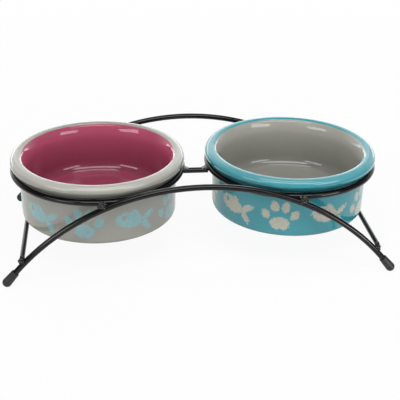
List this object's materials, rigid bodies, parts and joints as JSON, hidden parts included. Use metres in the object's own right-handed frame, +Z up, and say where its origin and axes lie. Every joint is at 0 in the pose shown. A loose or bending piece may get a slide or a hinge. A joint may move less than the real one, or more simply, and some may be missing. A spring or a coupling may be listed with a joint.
{
  "type": "double pet bowl",
  "caption": "Raised pet feeder: round glazed ceramic bowls with rolled rims hang in the rings of a low arched wire stand and lift straight out.",
  "frame": {"origin": "on the floor, at the bottom centre of the whole part, half way between the bowls", "axes": "+X from the grey bowl to the turquoise bowl, -Y the front, +Z up"},
  "size_m": [0.264, 0.1312, 0.0695],
  "materials": {
    "grey_outer_glaze": "glossy warm grey glaze, hand-brushed pale blue print",
    "raspberry_inner_glaze": "glossy raspberry glaze",
    "turquoise_outer_glaze": "glossy turquoise glaze, hand-brushed cream print",
    "grey_inner_glaze": "glossy warm grey glaze",
    "black_coated_wire": "satin black powder coat on steel wire",
    "black_coated_weld": "satin black powder coat over rough weld beads",
    "black_rubber": "matt black slip-on rubber cap"
  },
  "bodies": {
    "stand": {"front_arch": "black_coated_wire", "rear_arch": "black_coated_wire", "left_ring": "black_coated_wire", "right_ring": "black_coated_wire", "ring_link": "black_coated_wire", "left_crossbar": "black_coated_wire", "right_crossbar": "black_coated_wire", "front_left_foot_cap": "black_rubber", "front_right_foot_cap": "black_rubber", "rear_left_foot_cap": "black_rubber", "rear_right_foot_cap": "black_rubber", "front_left_ring_weld": "black_coated_weld", "front_right_ring_weld": "black_coated_weld", "rear_left_ring_weld": "black_coated_weld", "rear_right_ring_weld": "black_coated_weld", "front_left_bar_weld": "black_coated_weld", "front_right_bar_weld": "black_coated_weld", "rear_left_bar_weld": "black_coated_weld", "rear_right_bar_weld": "black_coated_weld", "left_link_weld": "black_coated_weld", "right_link_weld": "black_coated_weld"},
    "left_bowl": {"left_bowl": "grey_outer_glaze", "left_bowl_inner_glaze": "raspberry_inner_glaze"},
    "right_bowl": {"right_bowl": "turquoise_outer_glaze", "right_bowl_inner_glaze": "grey_inner_glaze"}
  },
  "joints": [
    {"name": "left_bowl_lift", "type": "slide", "parent": "stand", "child": "left_bowl", "axis": [0, 0, 1], "range_m": [0, 0.05]},
    {"name": "right_bowl_lift", "type": "slide", "parent": "stand", "child": "right_bowl", "axis": [0, 0, 1], "range_m": [0, 0.05]}
  ]
}
